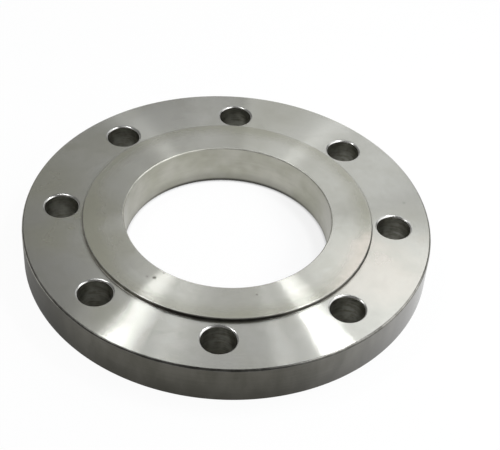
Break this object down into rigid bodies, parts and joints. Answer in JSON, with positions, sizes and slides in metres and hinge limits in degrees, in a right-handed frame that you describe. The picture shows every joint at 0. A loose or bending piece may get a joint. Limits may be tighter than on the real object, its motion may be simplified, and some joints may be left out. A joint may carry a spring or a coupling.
{
  "type": "raised face plate flange",
  "caption": "Round steel plate flange lying on its back, with a low raised sealing face, a plain straight bore for the pipe and a ring of chamfered bolt holes.",
  "frame": {"origin": "centre of the back face, on the pipe's axis, where the flange rests", "axes": "+Z along the pipe's axis, from the back to the raised sealing face; +X through the first bolt hole"},
  "size_m": [0.22, 0.22, 0.024],
  "materials": {
    "turned_steel": "lathe-turned stainless steel, satin, with fine concentric tool marks"
  },
  "bodies": {
    "root": {"flange": "turned_steel"}
  },
  "joints": []
}
